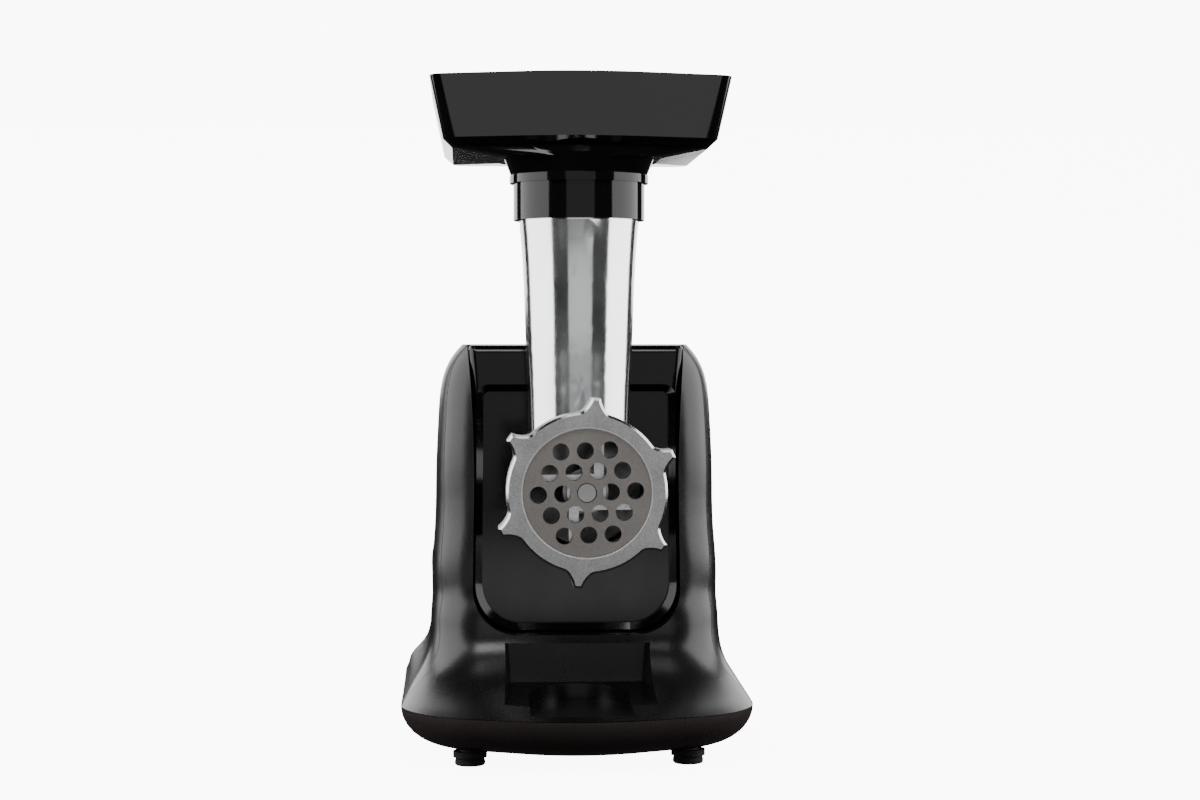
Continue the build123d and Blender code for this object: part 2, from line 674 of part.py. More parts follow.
with BuildPart() as drive_shaft:
    bar(OUTPUT_R, -6.0, 39.0)
    bar(13.0, -17.0, -3.0)
    hexagon(HEX_FLATS + 0.4, -18.0, -10.0, mode=Mode.SUBTRACT)
    bar(2.6, -18, 20, mode=Mode.SUBTRACT)
    chamfer(drive_shaft.edges().filter_by(GeomType.CIRCLE).group_by(Axis.Y)[0], 1.0)
finish("drive_shaft", drive_shaft.part)

with BuildPart() as drive_coupler:
    hexagon(HEX_FLATS, -20.5, -10.6)
    bar(2.1, -30, 0, mode=Mode.SUBTRACT)
finish("drive_coupler", drive_coupler.part)

screws("coupler_screw", [Location((0, -10.6, BARREL_Z), (90, 0, 0))], 2.0, 20.0, 2.4, 2.0)

JOURNAL_R = 10.0
FLIGHT_R, FLIGHT_FRONT_Y, FLIGHT_REAR_Y = 25.0, -107.5, -30.0

with BuildPart() as feed_screw:
    bar(JOURNAL_R, -108.0, -20.5)
    bar(12.5, -32.0, -26.6)
    with BuildSketch(across(-108.0)):
        with Locations((0, BARREL_Z)):
            Rectangle(9.0, 9.0)
    extrude(amount=7.5)
    bar(3.9, PLATE_FRONT_Y, -108.0)
    flight_path = Helix(
        27, FLIGHT_REAR_Y - FLIGHT_FRONT_Y - 4, 17,
        center=(0, FLIGHT_REAR_Y - 2, BARREL_Z), direction=(0, -1, 0), mode=Mode.PRIVATE,
    )
    radial = (flight_path @ 0 - Vector(0, FLIGHT_REAR_Y - 2, BARREL_Z)).normalized()
    with BuildSketch(Plane(origin=flight_path @ 0, x_dir=radial, z_dir=flight_path % 0)) as rib:
        Rectangle(2 * (FLIGHT_R - 17), 4.0)
    sweep(rib.sketch, path=flight_path, is_frenet=True)
    bar(2.0, -31.0, -15.0, mode=Mode.SUBTRACT)
finish("feed_screw", feed_screw.part)

with BuildPart() as thrust_washer:
    bar(14.0, -26.6, BARREL_BACK_Y - GAP)
    bar(JOURNAL_R, -30, -20, mode=Mode.SUBTRACT)
finish("thrust_washer", thrust_washer.part)

with BuildPart() as knife:
    with BuildSketch(across(-110.2)):
        with Locations((0, BARREL_Z)):
            Circle(8.5)
            with PolarLocations(0, 4):
                with Locations((13.8, -5.5)):
                    Rectangle(21.0, 4.4)
            Rectangle(9.0, 9.0, mode=Mode.SUBTRACT)
    extrude(amount=4.9)
finish("knife", knife.part)

# ------------------------------------------------------------------ grinding head
with BuildPart() as grinder_head:
    bar(29.5, -108.0, BARREL_BACK_Y + 4)
    bar(32.0, -119.5, NUT_REAR_Y)
    bar(30.3, -28.0, -19.4)
    with BuildSketch(across(-19.4)):
        ear_angle = degrees(atan2(LOCK_PIN[1] - BARREL_Z, LOCK_PIN[0]))
        ear_reach = hypot(LOCK_PIN[0], LOCK_PIN[1] - BARREL_Z)
        with Locations(Location((0, BARREL_Z, 0), (0, 0, ear_angle))):
            with Locations((ear_reach - 5, 0)):
                SlotCenterToCenter(10, 9)
    extrude(amount=3.6)
    bar(26.5, -20.0, -9.9)
    for angle in (0, 120, 240):
        with BuildSketch(across(-10.4)):
            with Locations(Location((0, BARREL_Z, 0), (0, 0, angle))):
                with Locations((27.8, 0)):
                    Rectangle(3.4, 13.0)
        extrude(amount=4.0)
    with BuildSketch(Plane.XZ.offset(-TUBE_Y)):
        with BuildLine():
            side = Spline((23.3, 148), (23.5, 164), (24.7, 196), (26.1, 232), (27.6, 251))
            Polyline(side @ 1, (27.6, TUBE_TOP_Z), (0, TUBE_TOP_Z), (0, 140), (23.3, 140), side @ 0)
        make_face()
    revolve(axis=Axis((0, TUBE_Y, 0), (0, 0, 1)))
    post(THROAT_R, THROAT_FOOT_Z, TUBE_TOP_Z + 1, 0, TUBE_Y, mode=Mode.SUBTRACT)
    with Locations(Location((0, TUBE_Y, THROAT_FOOT_Z - 7))):
        Cone(THROAT_R + 0.9, THROAT_R, 14.02, mode=Mode.SUBTRACT)
    with Locations(Location((0, TUBE_Y, TUBE_TOP_Z - 4))):
        Cone(THROAT_R, 25.5, 8.02, mode=Mode.SUBTRACT)
    bar(BORE_R, -130, BARREL_BACK_Y, mode=Mode.SUBTRACT)
    bar(PLATE_R + 0.2, -130, PLATE_REAR_Y + GAP, mode=Mode.SUBTRACT)
    bar(JOURNAL_R + RUNNING, -40, 0, mode=Mode.SUBTRACT)
    bar(18.0, BARREL_BACK_Y + 4, 0, mode=Mode.SUBTRACT)
    bar(1.9, -21.5, -19.3, LOCK_PIN, mode=Mode.SUBTRACT)
    block(-2.0, 2.0, -119.6, PLATE_REAR_Y + GAP, BARREL_Z + 29.5, BARREL_Z + 31.0, mode=Mode.SUBTRACT)
finish("grinder_head", grinder_head.part)

# ------------------------------------------------------------------ plate and ring nut
HOLE_R, HOLE_PITCH, HOLE_TURN = 3.7, 10.55, 2.3

with BuildPart() as grinding_plate:
    bar(PLATE_R, PLATE_FRONT_Y, PLATE_REAR_Y)
    with BuildSketch(across(PLATE_REAR_Y)):
        with Locations(Location((0, BARREL_Z, 0), (0, 0, HOLE_TURN))):
            Circle(4.3)
            for ring, count in ((1.0, 6), (sqrt(3), 6), (2.0, 6)):
                start = 30 if ring == sqrt(3) else 0
                with PolarLocations(ring * HOLE_PITCH, count, start_angle=start):
                    Circle(HOLE_R)
    extrude(amount=10, mode=Mode.SUBTRACT)
    block(-1.8, 1.8, PLATE_FRONT_Y + 1, PLATE_REAR_Y, BARREL_Z + 29.0, BARREL_Z + 30.8)
    chamfer(grinding_plate.faces().sort_by(Axis.Y)[0].outer_wire().edges(), 0.4)
finish("grinding_plate", grinding_plate.part)

NUT_R, LUG_TIP_R, LUG_TURN = 35.0, 41.4, 24.4

with BuildPart() as ring_nut:
    with BuildSketch(across(NUT_REAR_Y)) as nut_face:
        with Locations((0, BARREL_Z)):
            Circle(NUT_R)
        for lug in range(6):
            middle = LUG_TURN + 60 * lug
            foot_left = beside(OUTPUT, NUT_R - 1.0, middle - 14)
            foot_right = beside(OUTPUT, NUT_R - 1.0, middle + 14)
            waist_left = beside(OUTPUT, 36.7, middle - 6.6)
            waist_right = beside(OUTPUT, 36.7, middle + 6.6)
            tip_left = beside(OUTPUT, LUG_TIP_R, middle - 2.6)
            tip_right = beside(OUTPUT, LUG_TIP_R, middle + 2.6)
            with BuildLine():
                Line(OUTPUT, foot_left)
                ThreePointArc(foot_left, waist_left, tip_left)
                Line(tip_left, tip_right)
                ThreePointArc(tip_right, waist_right, foot_right)
                Line(foot_right, OUTPUT)
            make_face()
        fillet([v for v in nut_face.vertices() if abs(hypot(v.X, v.Y - BARREL_Z) - NUT_R) < 0.2], 4.0)
    extrude(amount=NUT_REAR_Y - NUT_FRONT_Y)
    bar(28.0, -130, -100, mode=Mode.SUBTRACT)
    bar(32.3, PLATE_FRONT_Y - GAP, -100, mode=Mode.SUBTRACT)
    chamfer(ring_nut.faces().sort_by(Axis.Y)[0].outer_wire().edges(), 1.0)
finish("ring_nut", ring_nut.part)

# ------------------------------------------------------------------ loading tray
def tray_outline(z, half, front_y, bow, rear_y, corner_r, inset):
    """One level of the tray, with a bowed front."""
    half, front_y, rear_y = half - inset, front_y + inset, rear_y - inset
    crown_r = 0.42 * half**2 / bow
    with BuildSketch(Plane.XY.offset(z)) as level:
        with BuildLine():
            FilletPolyline(
                (-half, front_y), (0, front_y - bow), (half, front_y), (half, rear_y), (-half, rear_y),
                radius=[corner_r, crown_r, corner_r, corner_r, corner_r], close=True,
            )
        make_face()
    return level.sketch


def tray_form(inset):
    """The tray's outer form, or the hollow that its walls leave."""
    with BuildPart() as form:
        add(tray_outline(RIM_Z + 0.1 * (inset > 0), 68.7, -75.5, 20.0, 62.5, 9.0, inset))
        add(tray_outline(CREASE_Z + inset, 62.8, -70.0, 18.0, 57.0, 9.0, inset))
        loft(ruled=True)
        add(tray_outline(CREASE_Z + inset, 62.8, -70.0, 18.0, 57.0, 9.0, inset))
        add(tray_outline(CREASE_Z - 4 + inset, 58.5, -66.0, 17.0, 52.5, 9.0, inset))
        loft(ruled=True)
        add(tray_outline(CREASE_Z - 4 + inset, 58.5, -66.0, 17.0, 52.5, 9.0, inset))
        add(tray_outline(279.5 + inset, 37.0, TUBE_Y - 30.0, 3.0, TUBE_Y + 36.0, 18.0, inset))
        loft(ruled=True)
    return form.part


with BuildPart() as loading_tray:
    add(tray_form(0.0))
    with Locations(Location((0, TUBE_Y, 276.5))):
        Cone(31.5, 35.0, 9.0)
    post(32.1, 268.5, 272.2, 0, TUBE_Y)
    post(30.3, 251.5, 269.0, 0, TUBE_Y)
    add(tray_form(2.4), mode=Mode.SUBTRACT)
    with Locations(Location((0, TUBE_Y, 277.0))):
        Cone(25.5, 31.0, 10.0, mode=Mode.SUBTRACT)
    post(25.5, 266.3, 274, 0, TUBE_Y, mode=Mode.SUBTRACT)
    post(27.9, 250, TUBE_TOP_Z + GAP, 0, TUBE_Y, mode=Mode.SUBTRACT)
    block(20, 40, TUBE_Y - 1.2, TUBE_Y + 1.2, 250, 266, mode=Mode.SUBTRACT)
finish("loading_tray", loading_tray.part)

# ------------------------------------------------------------------ switches and electrics
HINGE_X, CAP_R, OFF_TILT = 61.0, 12.2, 6.0

with BuildPart() as switch_body:
    block(50.5, SWITCH_X, SWITCH_Y - 10.8, SWITCH_Y + 10.8, SWITCH_Z - 14.8, SWITCH_Z + 14.8)
    block(
        HINGE_X - 6, SWITCH_X + 1, SWITCH_Y - 8.6, SWITCH_Y + 8.6, SWITCH_Z - 12.6, SWITCH_Z + 12.6,
        mode=Mode.SUBTRACT,
    )
finish("switch_body", switch_body.part)

with BuildPart() as power_rocker:
    with BuildSketch(Plane.XZ.offset(-SWITCH_Y - 8.2)):
        with Locations(Location((HINGE_X, SWITCH_Z, 0), (0, 0, OFF_TILT))):
            Circle(CAP_R)
            Polygon((7.6, -13), (6.0, 0), (7.6, 13), (20, 13), (20, -13), align=None, mode=Mode.SUBTRACT)
            with Locations((-13, 0)):
                Rectangle(20, 30, mode=Mode.SUBTRACT)
    extrude(amount=16.4)
finish("power_rocker", power_rocker.part)

with BuildPart() as reverse_button:
    with BuildSketch(Plane.YZ.offset(57.5)):
        with Locations((SWITCH_Y, REVERSE_Z)):
            Circle(6.0)
    extrude(amount=11.0)
    fillet(reverse_button.edges().group_by(Axis.X)[-1], 0.8)
finish("reverse_button", reverse_button.part)

with BuildPart() as reverse_switch:
    block(43, 51.0, SWITCH_Y - 8, SWITCH_Y + 8, REVERSE_Z - 7, REVERSE_Z + 7)
finish("reverse_switch", reverse_switch.part)

coil_spring("reverse_spring", (51.6, SWITCH_Y, REVERSE_Z), (57.0, SWITCH_Y, REVERSE_Z), 3.6, 0.4, 3)

with BuildPart() as suppressor:
    with BuildSketch(Plane.XY.offset(52)):
        with Locations((-50, 70)):
            RectangleRounded(12, 24, 2)
    extrude(amount=16)
finish("suppressor", suppressor.part)

with BuildPart() as cord_gland:
    bar(5.0, 112.0, 121.5, GLAND)
    bar(7.5, 112.0, 115.0, GLAND)
    bar(3.4, 100, 130, GLAND, mode=Mode.SUBTRACT)
finish("cord_gland", cord_gland.part)

print(len(made), "sub-parts")
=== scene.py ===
"""Looks for the electric meat grinder: finishes, studio and camera, built round the fixed frame."""

import logging
import math
from dataclasses import dataclass
from enum import Enum
from typing import Any, ClassVar

import bpy
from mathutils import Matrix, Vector


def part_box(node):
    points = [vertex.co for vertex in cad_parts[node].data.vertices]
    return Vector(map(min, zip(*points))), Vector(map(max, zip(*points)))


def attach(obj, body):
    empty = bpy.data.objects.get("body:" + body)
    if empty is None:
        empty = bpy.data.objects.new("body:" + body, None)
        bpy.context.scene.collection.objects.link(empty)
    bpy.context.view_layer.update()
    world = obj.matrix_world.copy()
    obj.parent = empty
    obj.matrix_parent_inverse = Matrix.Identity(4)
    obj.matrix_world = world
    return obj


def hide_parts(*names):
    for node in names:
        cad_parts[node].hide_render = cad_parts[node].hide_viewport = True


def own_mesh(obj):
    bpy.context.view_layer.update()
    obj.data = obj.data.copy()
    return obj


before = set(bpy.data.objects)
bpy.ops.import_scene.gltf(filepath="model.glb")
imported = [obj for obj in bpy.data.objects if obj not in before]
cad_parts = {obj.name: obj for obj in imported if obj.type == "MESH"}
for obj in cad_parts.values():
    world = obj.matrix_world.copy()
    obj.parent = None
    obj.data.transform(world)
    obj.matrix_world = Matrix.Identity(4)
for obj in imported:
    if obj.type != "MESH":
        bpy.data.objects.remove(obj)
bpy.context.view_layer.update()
LOG = logging.getLogger("meat_grinder")

Triple = tuple[float, float, float]
Stops = tuple[tuple[float, float], ...]

WHITE = (1.0, 1.0, 1.0, 1.0)
ORIGIN: Triple = (0.0, 0.0, 0.0)
BARREL_AXIS: Triple = (0.0, 0.0, 0.13)
MACHINE_MIDDLE: Triple = (0.0, 0.0, 0.16)
FLATTEN_DEPTH: Triple = (1.0, 0.0, 1.0)


class Grain(Enum):
    """How a metal surface was worked."""

    CAST = "cast"
    DRAWN = "drawn"
    TURNED = "turned"
    GROUND = "ground"


class SpringEnd(Enum):
    """An end of a spring along its axis."""

    LOWER = "lower"
    UPPER = "upper"


class Signal:
    """One number or vector flowing through a material, with arithmetic that adds Math nodes."""

    def __init__(self, shader: "Shader", socket: bpy.types.NodeSocket) -> None:
        """Wraps an output socket of the shader."""
        self.shader = shader
        self.socket = socket

    def _combine(self, operation: str, first: Any, second: Any) -> "Signal":
        """Adds one Math node.

        Args:
            operation: the Math node's operation.
            first: a signal or a number.
            second: a signal or a number.

        Returns:
            The node's result.
        """
        return self.shader.node("ShaderNodeMath", {"operation": operation}, {0: first, 1: second})

    def __add__(self, other: Any) -> "Signal":
        """Self plus other."""
        return self._combine("ADD", self, other)

    def __radd__(self, other: Any) -> "Signal":
        """Other plus self."""
        return self._combine("ADD", other, self)

    def __sub__(self, other: Any) -> "Signal":
        """Self minus other."""
        return self._combine("SUBTRACT", self, other)

    def __rsub__(self, other: Any) -> "Signal":
        """Other minus self."""
        return self._combine("SUBTRACT", other, self)

    def __mul__(self, other: Any) -> "Signal":
        """Self times other."""
        return self._combine("MULTIPLY", self, other)

    def __rmul__(self, other: Any) -> "Signal":
        """Other times self."""
        return self._combine("MULTIPLY", other, self)


class Shader:
    """A material under construction, with its Principled node ready."""

    NEW_STOP: ClassVar[float] = 0.5

    def __init__(self, name: str) -> None:
        """Starts a material.

        Args:
            name: the material's name.
        """
        self.material = bpy.data.materials.new(name)
        self.material.use_nodes = True
        self.tree = self.material.node_tree
        self.surface = self.tree.nodes["Principled BSDF"]

    def node(
        self, kind: str, settings: dict[str, Any], inputs: dict[Any, Any], output: Any = 0,
    ) -> Signal:
        """Adds a node.

        Args:
            kind: the node's type.
            settings: attributes set before any socket; "stops" holds a ramp's positions and greys.
            inputs: values or signals for its sockets, by name or number.
            output: the output socket's name or number.

        Returns:
            The chosen output as a signal.
        """
        made = self.tree.nodes.new(kind)
        for key, value in settings.items():
            if key == "stops":
                ramp = made.color_ramp
                while len(ramp.elements) < len(value):
                    ramp.elements.new(self.NEW_STOP)
                for element, (position, grey) in zip(ramp.elements, value):
                    element.position = position
                    element.color = (grey, grey, grey, 1.0)
            else:
                setattr(made, key, value)
        for key, value in inputs.items():
            if isinstance(value, Signal):
                self.tree.links.new(value.socket, made.inputs[key])
            else:
                made.inputs[key].default_value = value
        return Signal(self, made.outputs[output])

    def place(self) -> Signal:
        """The point's place in the frame, in metres."""
        return self.node("ShaderNodeTexCoord", {}, {}, "Object")

    def facing(self) -> Signal:
        """The surface's own normal."""
        return self.node("ShaderNodeTexCoord", {}, {}, "Normal")

    def axis(self, vector: Signal, name: str) -> Signal:
        """One component of a vector."""
        return self.node("ShaderNodeSeparateXYZ", {}, {0: vector}, name)

    def stretched(self, vector: Signal, scale: Triple, shift: Triple = ORIGIN) -> Signal:
        """The vector with a shift taken away, then scaled along each axis."""
        moved = self.node("ShaderNodeVectorMath", {"operation": "SUBTRACT"}, {0: vector, 1: shift})
        return self.node("ShaderNodeVectorMath", {"operation": "MULTIPLY"}, {0: moved, 1: scale})

    def radius(self, place: Signal, centre: Triple) -> Signal:
        """The distance of a place from a front-to-back line through a centre, in metres."""
        flat = self.stretched(place, FLATTEN_DEPTH, centre)
        return self.node("ShaderNodeVectorMath", {"operation": "LENGTH"}, {0: flat}, "Value")

    def noise(self, vector: Signal, scale: float, detail: float = 3.0) -> Signal:
        """Soft noise from 0 to 1."""
        inputs = {"Vector": vector, "Scale": scale, "Detail": detail}
        return self.node("ShaderNodeTexNoise", {}, inputs)

    def sine(self, signal: Signal) -> Signal:
        """The sine of a signal in radians."""
        return self.node("ShaderNodeMath", {"operation": "SINE"}, {0: signal})

    def curve(self, signal: Signal, stops: Stops) -> Signal:
        """The signal passed through a ramp of grey stops."""
        return self.node("ShaderNodeValToRGB", {"stops": stops}, {0: signal})

    def tint(self, amount: Signal, low: Triple, high: Triple) -> Signal:
        """A colour between two, by an amount."""
        inputs = {0: amount, 6: (*low, 1.0), 7: (*high, 1.0)}
        return self.node("ShaderNodeMix", {"data_type": "RGBA"}, inputs, 2)

    def bump(self, height: Signal, depth: float) -> None:
        """Feeds the normal from a height signal.

        Args:
            height: the height, from 0 to 1.
            depth: how far 0 lies below 1, in metres.
        """
        inputs = {"Height": height, "Distance": depth, "Strength": 1.0}
        normal = self.node("ShaderNodeBump", {}, inputs)
        self.tree.links.new(normal.socket, self.surface.inputs["Normal"])

    def drive(self, socket: str, signal: Any) -> None:
        """Sets or links one socket of the Principled node.

        Args:
            socket: the socket's name.
            signal: a signal to link, or a constant to set.
        """
        if isinstance(signal, Signal):
            self.tree.links.new(signal.socket, self.surface.inputs[socket])
        else:
            self.surface.inputs[socket].default_value = signal


@dataclass(frozen=True)
class Finish:
    """A named finish that drifts between two colours."""

    name: str
    low: Triple
    high: Triple

    def build(self) -> bpy.types.Material:
        """Makes the material; each kind of finish has its own way."""
        raise NotImplementedError


@dataclass(frozen=True)
class Moulding(Finish):
    """A moulded plastic or rubber skin: colour drift, uneven polish and the tool's grain."""

    DRIFT_SCALE: ClassVar[float] = 14.0
    DRIFT_STOPS: ClassVar[Stops] = ((0.3, 0.0), (0.7, 1.0))
    SMEAR_STRETCH: ClassVar[Triple] = (1.0, 1.0, 0.35)
    SMEAR_SCALE: ClassVar[float] = 45.0
    SMEAR_DETAIL: ClassVar[float] = 4.0
    SMEAR_RANGE: ClassVar[tuple[float, float]] = (0.3, 0.75)
    GRAIN_DETAIL: ClassVar[float] = 2.0

    roughness: tuple[float, float]
    grain_scale: float
    grain_depth: float
    ior: float = 1.36

    def build(self) -> bpy.types.Material:
        """Makes the material.

        Returns:
            The finished material.
        """
        shader = Shader(self.name)
        place = shader.place()
        drift = shader.curve(shader.noise(place, self.DRIFT_SCALE), self.DRIFT_STOPS)
        streaks = shader.stretched(place, self.SMEAR_STRETCH)
        smear = shader.noise(streaks, self.SMEAR_SCALE, self.SMEAR_DETAIL)
        grain = shader.noise(place, self.grain_scale, self.GRAIN_DETAIL)
        polish = tuple(zip(self.SMEAR_RANGE, self.roughness))
        shader.drive("Base Color", shader.tint(drift, self.low, self.high))
        shader.drive("Roughness", shader.curve(smear, polish))
        shader.drive("IOR", self.ior)
        shader.bump(grain, self.grain_depth)
        return shader.material


@dataclass(frozen=True)
class Metal(Finish):
    """A bare metal: its colour, its polish and the marks left by how it was worked."""

    MARK_DETAIL: ClassVar[float] = 2.0
    DRAWN_STRETCH: ClassVar[Triple] = (1.0, 1.0, 0.02)
    DRAWN_SCALE: ClassVar[float] = 900.0
    GROUND_STRETCH: ClassVar[Triple] = (1.0, 0.04, 1.0)
    GROUND_SCALE: ClassVar[float] = 1300.0
    RING_PITCH: ClassVar[float] = 9000.0
    RING_SHARE: ClassVar[float] = 0.35
    TURNED_SCALE: ClassVar[float] = 2200.0
    TURNED_SHARE: ClassVar[float] = 0.9
    CAST_SCALE: ClassVar[float] = 1400.0
    CLOUD_SCALE: ClassVar[float] = 60.0
    CLOUD_DETAIL: ClassVar[float] = 4.0
    CLOUD_STOPS: ClassVar[Stops] = ((0.3, 0.0), (0.72, 1.0))
    CLOUD_SHARE: ClassVar[float] = 0.55
    SPECK_SCALE: ClassVar[float] = 1900.0
    SPECK_DETAIL: ClassVar[float] = 2.0
    SPECK_STOPS: ClassVar[Stops] = ((0.42, 0.0), (0.66, 1.0))
    SPECK_SHARE: ClassVar[float] = 0.45
    # Painted highlight: faces that lean away from the front are lightened, so chamfers look lit.
    FACING_HIGHLIGHT_STOPS: ClassVar[Stops] = ((0.25, 0.0), (0.45, 1.0), (0.88, 1.0), (0.97, 0.0))
    # Painted highlight: a thin bright ring painted on the lip round the opening.
    LIP_HIGHLIGHT_SCALE: ClassVar[float] = 20.0
    LIP_HIGHLIGHT_STOPS: ClassVar[Stops] = ((0.5, 1.0), (0.566, 1.0), (0.574, 0.0))
    EDGE_POLISH: ClassVar[float] = 0.62

    roughness: tuple[float, float]
    grain: Grain
    centre: Triple = BARREL_AXIS
    depth: float = 0.00003
    # Paints highlights on oblique faces and on the lip round the centre, and also makes them
    # smoother.
    painted_highlight_edges: bool = False

    def marks(self, shader: Shader, place: Signal) -> Signal:
        """Makes the marks left by how the metal was worked.

        Args:
            shader: the material being built.
            place: the point's place in the frame.

        Returns:
            The height of the marks.
        """
        if self.grain is Grain.DRAWN:
            lines = shader.stretched(place, self.DRAWN_STRETCH)
            return shader.noise(lines, self.DRAWN_SCALE, self.MARK_DETAIL)
        if self.grain is Grain.GROUND:
            lines = shader.stretched(place, self.GROUND_STRETCH)
            return shader.noise(lines, self.GROUND_SCALE, self.MARK_DETAIL)
        if self.grain is Grain.TURNED:
            rings = shader.sine(shader.radius(place, self.centre) * self.RING_PITCH)
            rough = shader.noise(place, self.TURNED_SCALE, self.MARK_DETAIL)
            return rings * self.RING_SHARE + rough * self.TURNED_SHARE
        return shader.noise(place, self.CAST_SCALE)

    def painted_highlight_mask(self, shader: Shader, place: Signal) -> Signal:
        """Finds where highlights are painted: the surfaces that stand oblique to the front, and the
        lip round the centre.

        Args:
            shader: the material being built.
            place: the point's place in the frame.

        Returns:
            A signal that rises from 0 elsewhere to 1 on them.
        """
        lean = shader.axis(shader.facing(), "Y") * -1.0
        oblique = shader.curve(lean, self.FACING_HIGHLIGHT_STOPS)
        lip = shader.curve(shader.radius(place, self.centre) * self.LIP_HIGHLIGHT_SCALE, self.LIP_HIGHLIGHT_STOPS)
        return shader.node("ShaderNodeMath", {"operation": "MAXIMUM"}, {0: oblique, 1: lip})

    def build(self) -> bpy.types.Material:
        """Makes the material.

        Returns:
            The finished material.
        """
        shader = Shader(self.name)
        place = shader.place()
        marks = self.marks(shader, place)
        cloud = shader.noise(place, self.CLOUD_SCALE, self.CLOUD_DETAIL)
        cloud = shader.curve(cloud, self.CLOUD_STOPS)
        speck = shader.noise(place, self.SPECK_SCALE, self.SPECK_DETAIL)
        speck = shader.curve(speck, self.SPECK_STOPS)
        rough = shader.curve(cloud, tuple(zip((0.0, 1.0), self.roughness)))
        tone = cloud * self.CLOUD_SHARE + speck * self.SPECK_SHARE
        # Painted highlight: oblique faces and the lip get a lighter colour as well as a smoother
        # polish.
        if self.painted_highlight_edges:
            painted_highlight = self.painted_highlight_mask(shader, place)
            rough = rough * (1.0 - painted_highlight * self.EDGE_POLISH)
            tone = tone + painted_highlight
        shader.drive("Base Color", shader.tint(tone, self.low, self.high))
        shader.drive("Roughness", rough)
        shader.drive("Metallic", 1.0)
        shader.bump(marks, self.depth)
        return shader.material


@dataclass(frozen=True)
class Layered(Finish):
    """A stack of sheets or turns of wire: fine bands along one axis of the frame."""

    BAND_SHARE: ClassVar[float] = 0.7
    MOTTLE_SHARE: ClassVar[float] = 0.3
    MOTTLE_SCALE: ClassVar[float] = 300.0
    MOTTLE_RANGE: ClassVar[tuple[float, float]] = (0.2, 0.8)
    ROUGHNESS_SPREAD: ClassVar[float] = 0.15
    GROOVE: ClassVar[float] = 0.25

    step: float
    axis: str
    metallic: float
    roughness: float

    def build(self) -> bpy.types.Material:
        """Makes the material.

        Returns:
            The finished material.
        """
        shader = Shader(self.name)
        place = shader.place()
        along = shader.axis(place, self.axis) * (2 * math.pi / self.step)
        bands = shader.sine(along) * 0.5 + 0.5
        mottle = shader.noise(place, self.MOTTLE_SCALE)
        tone = bands * self.BAND_SHARE + mottle * self.MOTTLE_SHARE
        polish = (self.roughness, self.roughness + self.ROUGHNESS_SPREAD)
        shader.drive("Base Color", shader.tint(tone, self.low, self.high))
        shader.drive("Metallic", self.metallic)
        shader.drive("Roughness", shader.curve(mottle, tuple(zip(self.MOTTLE_RANGE, polish))))
        shader.bump(bands, self.step * self.GROOVE)
        return shader.material


BODY_GLOSS = Moulding(
    "body_gloss", low=(0.0018, 0.0018, 0.002), high=(0.003, 0.0028, 0.003),
    roughness=(0.26, 0.31), grain_scale=900.0, grain_depth=1.5e-6, ior=1.46,
)
PANEL_GLOSS = Moulding(
    "panel_gloss", low=(0.0015, 0.0015, 0.0018), high=(0.0025, 0.0024, 0.0026),
    roughness=(0.1, 0.15), grain_scale=700.0, grain_depth=2e-6,
)
PAN_GLOSS = Moulding(
    "pan_gloss", low=(0.022, 0.017, 0.0165), high=(0.031, 0.0245, 0.024),
    roughness=(0.24, 0.32), grain_scale=1200.0, grain_depth=4e-6,
)
TRAY_GLOSS = Moulding(
    "tray_gloss", low=(0.0018, 0.0018, 0.002), high=(0.003, 0.003, 0.0032),
    roughness=(0.06, 0.1), grain_scale=600.0, grain_depth=2e-6,
)
BLACK_SATIN = Moulding(
    "black_satin", low=(0.009, 0.009, 0.0095), high=(0.016, 0.016, 0.016),
    roughness=(0.34, 0.5), grain_scale=2600.0, grain_depth=3e-5,
)
RUBBER = Moulding(
    "foot_rubber", low=(0.006, 0.006, 0.006), high=(0.014, 0.014, 0.014),
    roughness=(0.6, 0.8), grain_scale=3200.0, grain_depth=5e-5,
)
NYLON = Moulding(
    "gear_nylon", low=(0.72, 0.69, 0.58), high=(0.8, 0.77, 0.68),
    roughness=(0.32, 0.45), grain_scale=1500.0, grain_depth=2e-5,
)
CARBON = Moulding(
    "carbon", low=(0.02, 0.02, 0.021), high=(0.05, 0.05, 0.052),
    roughness=(0.5, 0.7), grain_scale=4000.0, grain_depth=4e-5,
)
RESIN = Moulding(
    "capacitor_resin", low=(0.3, 0.27, 0.2), high=(0.4, 0.36, 0.28),
    roughness=(0.3, 0.45), grain_scale=800.0, grain_depth=3e-5,
)
CAST_TUBE = Metal(
    "cast_aluminium", low=(0.76, 0.775, 0.79), high=(0.84, 0.85, 0.86),
    roughness=(0.12, 0.15), grain=Grain.DRAWN, depth=2e-6,
)
# The nut carries painted highlights on its oblique faces and its opening lip.
NUT_METAL = Metal(
    "nut_aluminium", low=(0.22, 0.22, 0.225), high=(0.46, 0.46, 0.465),
    roughness=(0.38, 0.5), grain=Grain.CAST, depth=4e-5, painted_highlight_edges=True,
)
SCREW_METAL = Metal(
    "screw_aluminium", low=(0.24, 0.24, 0.245), high=(0.38, 0.38, 0.385),
    roughness=(0.3, 0.45), grain=Grain.CAST,
)
PLATE_STEEL = Metal(
    "plate_steel", low=(0.17, 0.158, 0.15), high=(0.29, 0.27, 0.257),
    roughness=(0.36, 0.5), grain=Grain.TURNED, depth=2e-5,
)
BLADE_STEEL = Metal(
    "blade_steel", low=(0.34, 0.34, 0.35), high=(0.48, 0.48, 0.49),
    roughness=(0.2, 0.32), grain=Grain.GROUND,
)
BRIGHT_STEEL = Metal(
    "bright_steel", low=(0.5, 0.5, 0.51), high=(0.66, 0.66, 0.67),
    roughness=(0.18, 0.3), grain=Grain.TURNED, depth=1e-5,
)
